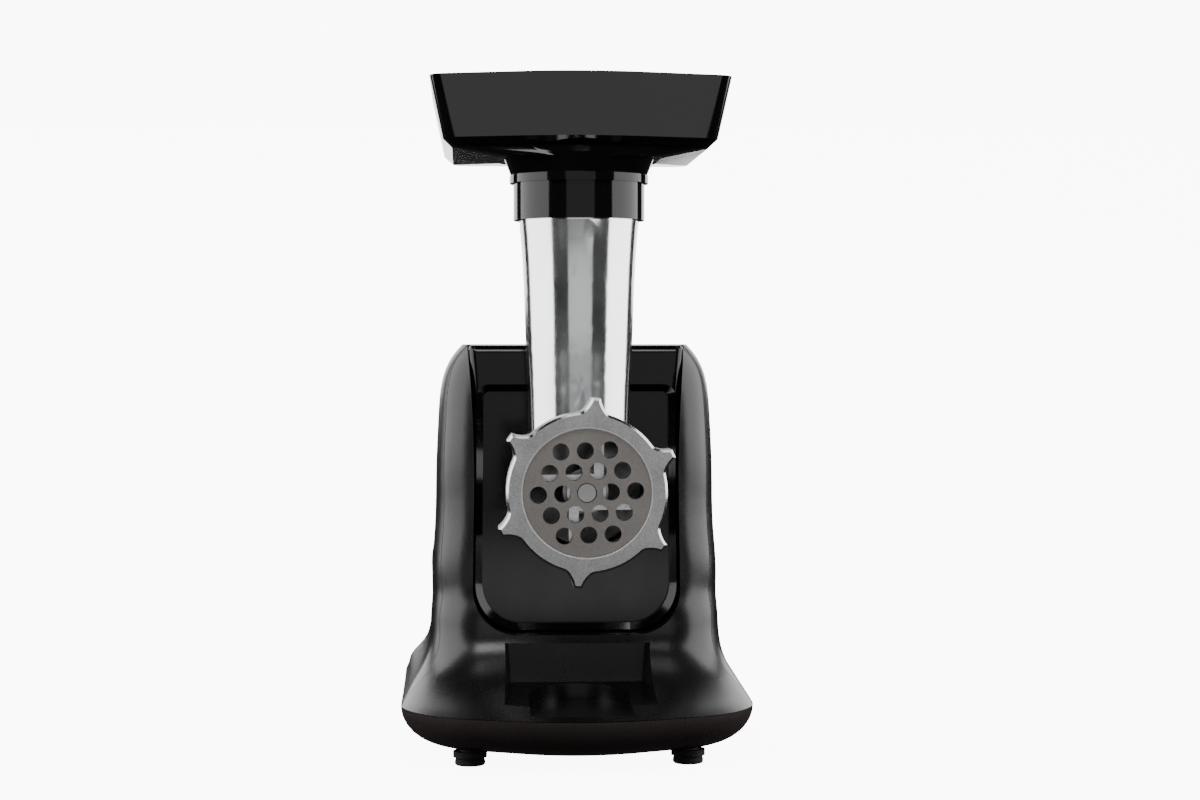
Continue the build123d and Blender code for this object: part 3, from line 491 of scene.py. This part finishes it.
BRONZE = Metal(
    "bronze", low=(0.42, 0.27, 0.13), high=(0.6, 0.4, 0.2),
    roughness=(0.32, 0.46), grain=Grain.CAST, depth=3e-5,
)
STACK = Layered(
    "laminations", low=(0.16, 0.16, 0.165), high=(0.34, 0.34, 0.35),
    step=0.001, axis="Y", metallic=1.0, roughness=0.42,
)
WINDING = Layered(
    "winding", low=(0.3, 0.1, 0.035), high=(0.62, 0.26, 0.1),
    step=0.0009, axis="Z", metallic=0.9, roughness=0.28,
)


def shared(finish: Finish, *nodes: str) -> dict[str, Finish]:
    """Gives several nodes the same finish."""
    return dict.fromkeys(nodes, finish)


@dataclass
class SubAssembly:
    """A set of carried-over nodes and the finish of each."""

    title: str
    finishes: dict[str, Finish]

    def dress(self, materials: dict[str, bpy.types.Material]) -> None:
        """Gives every node its finish.

        Args:
            materials: finished materials by name, shared between sub-assemblies.
        """
        for node, finish in self.finishes.items():
            if finish.name not in materials:
                materials[finish.name] = finish.build()
            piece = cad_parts[node]
            for slot in piece.material_slots:
                slot.material = materials[finish.name]
            LOG.info("%s: %s in %s", self.title, node, finish.name)


class Housing(SubAssembly):
    """The two shells, the base pan, the panel, the feet and the controls."""

    def __init__(self) -> None:
        """Lists the nodes with their finishes."""
        feet = [f"foot_{end}_{side}" for end in ("front", "rear") for side in ("left", "right")]
        super().__init__(
            "housing",
            shared(BODY_GLOSS, "front_shell", "rear_shell")
            | shared(
                BLACK_SATIN, "head_socket", "release_button", "power_rocker", "reverse_button",
                "switch_body", "reverse_switch",
            )
            | shared(RUBBER, *feet, "cord_gland")
            | shared(PANEL_GLOSS, "front_panel")
            | shared(PAN_GLOSS, "base_pan")
            | shared(RESIN, "suppressor")
            | shared(BRIGHT_STEEL, "base_screws", "release_spring", "reverse_spring"),
        )


class GrindingHead(SubAssembly):
    """The cast head with its plate, nut, knife and feed screw."""

    def __init__(self) -> None:
        """Lists the nodes with their finishes."""
        super().__init__(
            "head",
            shared(CAST_TUBE, "grinder_head")
            | shared(NUT_METAL, "ring_nut")
            | shared(PLATE_STEEL, "grinding_plate")
            | shared(BLADE_STEEL, "knife")
            | shared(SCREW_METAL, "feed_screw")
            | shared(BRIGHT_STEEL, "thrust_washer", "coupler_screw")
            | shared(BLACK_SATIN, "drive_coupler"),
        )


class Tray(SubAssembly):
    """The loading tray."""

    def __init__(self) -> None:
        """Names the one node."""
        super().__init__("tray", shared(TRAY_GLOSS, "loading_tray"))


class DriveTrain(SubAssembly):
    """The motor, the gears and their case."""

    def __init__(self) -> None:
        """Lists the nodes with their finishes."""
        super().__init__(
            "drive",
            shared(
                BRIGHT_STEEL, "motor_shaft", "motor_pinion", "layshaft_1_pinion",
                "layshaft_2_pinion", "layshaft_1_spindle", "layshaft_2_spindle", "drive_shaft",
                "bearing_front", "bearing_rear", "case_screws", "motor_screws",
                "brush_spring_left", "brush_spring_right",
            )
            | shared(
                BLACK_SATIN, "gear_case", "gear_cover", "motor_bracket", "cooling_fan",
                "brush_holder_left", "brush_holder_right",
            )
            | shared(NYLON, "layshaft_1_wheel", "layshaft_2_wheel", "output_gear")
            | shared(BRONZE, "output_bush_front", "output_bush_rear", "commutator")
            | shared(CARBON, "brush_left", "brush_right")
            | shared(STACK, "stator_core", "rotor_core")
            | shared(WINDING, "field_coil_upper", "field_coil_lower", "rotor_windings"),
        )


@dataclass
class PressSpring:
    """A compression spring carried along with its button."""

    STEPS_PER_TURN: ClassVar[int] = 24
    SPOKES: ClassVar[int] = 8

    node: str
    body: str
    joint: str
    axis: Triple
    wire: float
    turns: int
    keep: float
    held_end: SpringEnd

    def wind(self, low: Vector, high: Vector) -> list[Vector]:
        """Places rings of points along the helix that fills a box.

        Args:
            low: the box's lower corner.
            high: the box's upper corner.

        Returns:
            The points, ring after ring.
        """
        middle = (low + high) / 2
        along = Vector(self.axis)
        start = middle + along * (low - middle).dot(along)
        length = (high - low).dot(along) - 2 * self.wire
        across = along.orthogonal().normalized()
        side = along.cross(across)
        widths = [high[i] - low[i] for i in range(3) if not self.axis[i]]
        reach = min(widths) / 2 - self.wire
        steps = self.STEPS_PER_TURN * self.turns
        points: list[Vector] = []
        for step in range(steps + 1):
            angle = 2 * math.pi * step / self.STEPS_PER_TURN
            out = across * math.cos(angle) + side * math.sin(angle)
            centre = start + along * (self.wire + length * step / steps) + out * reach
            for spoke in range(self.SPOKES):
                lean = 2 * math.pi * spoke / self.SPOKES
                points.append(
                    centre + (out * math.cos(lean) + along * math.sin(lean)) * self.wire
                )
        return points

    def skin(self) -> list[tuple[int, ...]]:
        """Joins the rings of points into a closed wire.

        Returns:
            The faces, the two end caps last.
        """
        ring, steps = self.SPOKES, self.STEPS_PER_TURN * self.turns
        faces: list[tuple[int, ...]] = []
        for n in range(steps):
            for k in range(ring):
                near, far = ring * n, ring * (n + 1)
                turn = (k + 1) % ring
                faces.append((near + k, near + turn, far + turn, far + k))
        faces.append(tuple(reversed(range(ring))))
        faces.append(tuple(range(ring * steps, ring * (steps + 1))))
        return faces

    def build(self, material: bpy.types.Material) -> bpy.types.Object:
        """Winds the spring in its node's box and ties it to the button's travel.

        Args:
            material: the wire's finish.

        Returns:
            The finished spring.
        """
        low, high = (Vector(corner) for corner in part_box(self.node))
        points, faces = self.wind(low, high), self.skin()
        mesh = bpy.data.meshes.new(f"{self.node}_wire")
        mesh.from_pydata(points, [], faces)
        mesh.polygons.foreach_set("use_smooth", [True] * len(faces))
        mesh.materials.append(material)
        piece = bpy.data.objects.new(f"{self.node}_wire", mesh)
        bpy.context.scene.collection.objects.link(piece)
        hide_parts(self.node)
        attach(piece, self.body)
        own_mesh(piece)
        LOG.info("spring: %s closes with %s", self.node, self.joint)
        return piece


SPRINGS = (
    PressSpring(
        "release_spring", "release_button", "release_press", axis=(0.0, 1.0, 0.0),
        wire=0.00045, turns=4, keep=0.31, held_end=SpringEnd.LOWER,
    ),
    PressSpring(
        "reverse_spring", "reverse_button", "reverse_press", axis=(1.0, 0.0, 0.0),
        wire=0.0004, turns=3, keep=0.46, held_end=SpringEnd.UPPER,
    ),
)


@dataclass(frozen=True)
class SoftBox:
    """A rectangular lamp that lights the machine and stays out of sight itself.

    Places and sizes are in metres; the glow of its face is in watts per square metre and steradian.
    """

    name: str
    place: Triple
    size: tuple[float, float]
    glow: float
    target: Triple = MACHINE_MIDDLE

    def build(self) -> None:
        """Hangs the lamp and turns it to its target."""
        lamp = bpy.data.lights.new(self.name, "AREA")
        lamp.shape = "RECTANGLE"
        lamp.size, lamp.size_y = self.size
        lamp.energy = self.glow * math.pi * self.size[0] * self.size[1]
        holder = bpy.data.objects.new(self.name, lamp)
        holder.location = self.place
        line = Vector(self.target) - Vector(self.place)
        holder.rotation_euler = line.to_track_quat("-Z", "Y").to_euler()
        holder.visible_camera = False
        bpy.context.scene.collection.objects.link(holder)


SOFT_BOXES = (
    SoftBox("left_box", place=(-1.6, 0.0, 0.75), size=(2.4, 1.7), glow=4.2),
    SoftBox("right_box", place=(1.6, -0.05, 0.75), size=(2.2, 1.7), glow=4.4),
    SoftBox(
        "back_box", place=(0.0, 2.1, 1.02), size=(3.4, 1.6), glow=3.2, target=(0.0, 0.0, 1.02),
    ),
    SoftBox("top_box", place=(0.0, -0.1, 1.9), size=(1.0, 0.7), glow=2.0),
    SoftBox("key_box", place=(-0.3, -1.5, 1.7), size=(1.2, 0.8), glow=9.0),
    SoftBox(
        "front_box", place=(0.0, -2.7, 0.45), size=(2.4, 1.0), glow=0.75, target=(0.0, 0.0, 0.45),
    ),
    SoftBox(
        "floor_card", place=(0.0, -0.86, 0.002), size=(1.8, 0.6), glow=1.8,
        target=(0.0, -0.85, 1.0),
    ),
)


@dataclass
class Studio:
    """A white sweep, soft boxes and the camera."""

    eye: Triple = (-0.0527, -1.1475, 0.194)
    tilt_deg: float = 88.68
    yaw_deg: float = -3.25
    lens: float = 71.3
    sensor: float = 36.0
    far: float = 50.0
    sweep_floor: tuple[float, ...] = (-1.13, -0.3, 0.6, 1.3)
    sweep_radius: float = 0.9
    sweep_steps: int = 12
    sweep_top: float = 4.0
    sweep_half: float = 3.5
    sweep_glow: float = 9.0
    paper_low: Triple = (0.9, 0.9, 0.9)
    paper_high: Triple = (0.94, 0.94, 0.94)
    paper_fibre: float = 400.0
    paper_roughness: float = 0.95
    backdrop: float = 10.0
    fill: float = 0.03

    def sweep(self) -> None:
        """Lays the pale paper sweep: a floor that curves up into the backdrop."""
        bend = self.sweep_floor[-1]
        profile = [(y, 0.0) for y in self.sweep_floor]
        for step in range(1, self.sweep_steps + 1):
            angle = math.radians(90.0 * step / self.sweep_steps)
            profile.append((
                bend + self.sweep_radius * math.sin(angle),
                self.sweep_radius * (1 - math.cos(angle)),
            ))
        profile.append((profile[-1][0], self.sweep_top))
        points = [(side * self.sweep_half, y, z) for y, z in profile for side in (-1, 1)]
        faces = [(2 * n, 2 * n + 1, 2 * n + 3, 2 * n + 2) for n in range(len(profile) - 1)]
        mesh = bpy.data.meshes.new("sweep")
        mesh.from_pydata(points, [], faces)
        mesh.polygons.foreach_set("use_smooth", [True] * len(faces))
        piece = bpy.data.objects.new("sweep", mesh)
        bpy.context.scene.collection.objects.link(piece)
        mesh.materials.append(self.paper())
        piece.visible_glossy = False
        piece.visible_diffuse = False

    def paper(self) -> bpy.types.Material:
        """Makes the sweep's glowing white paper.

        Returns:
            The finished material.
        """
        shader = Shader("sweep_paper")
        fibre = shader.noise(shader.place(), self.paper_fibre)
        shader.drive("Base Color", shader.tint(fibre, self.paper_low, self.paper_high))
        shader.drive("Roughness", self.paper_roughness)
        shader.drive("Specular IOR Level", 0.0)
        shader.drive("Emission Color", WHITE)
        shader.drive("Emission Strength", self.sweep_glow)
        return shader.material

    def air(self) -> None:
        """Sets a backdrop that is white to the camera, and lights and mirrors only dimly."""
        world = bpy.data.worlds.new("studio")
        world.use_nodes = True
        bpy.context.scene.world = world
        tree = world.node_tree
        tree.nodes.clear()
        out = tree.nodes.new("ShaderNodeOutputWorld")
        path = tree.nodes.new("ShaderNodeLightPath")
        mix = tree.nodes.new("ShaderNodeMixShader")
        tree.links.new(path.outputs["Is Camera Ray"], mix.inputs[0])
        for slot, strength in ((1, self.fill), (2, self.backdrop)):
            glow = tree.nodes.new("ShaderNodeBackground")
            glow.inputs["Color"].default_value = WHITE
            glow.inputs["Strength"].default_value = strength
            tree.links.new(glow.outputs[0], mix.inputs[slot])
        tree.links.new(mix.outputs[0], out.inputs[0])

    def camera(self) -> None:
        """Sets the camera in front of the grinding plate."""
        view = bpy.data.cameras.new("camera")
        view.lens = self.lens
        view.sensor_width = self.sensor
        view.clip_end = self.far
        holder = bpy.data.objects.new("camera", view)
        holder.location = self.eye
        holder.rotation_euler = (math.radians(self.tilt_deg), 0.0, math.radians(self.yaw_deg))
        bpy.context.scene.collection.objects.link(holder)
        bpy.context.scene.camera = holder

    def build(self) -> None:
        """Sets up the sweep, the air, the lights and the camera."""
        self.sweep()
        self.air()
        for box in SOFT_BOXES:
            box.build()
        self.camera()
        LOG.info("studio ready")


def main() -> None:
    """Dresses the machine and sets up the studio."""
    logging.basicConfig(level=logging.INFO, format="%(name)s: %(message)s")
    materials: dict[str, bpy.types.Material] = {}
    for part in (Housing(), GrindingHead(), Tray(), DriveTrain()):
        part.dress(materials)
    for spring in SPRINGS:
        spring.build(materials[BRIGHT_STEEL.name])
    Studio().build()


if __name__ == "__main__":
    main()
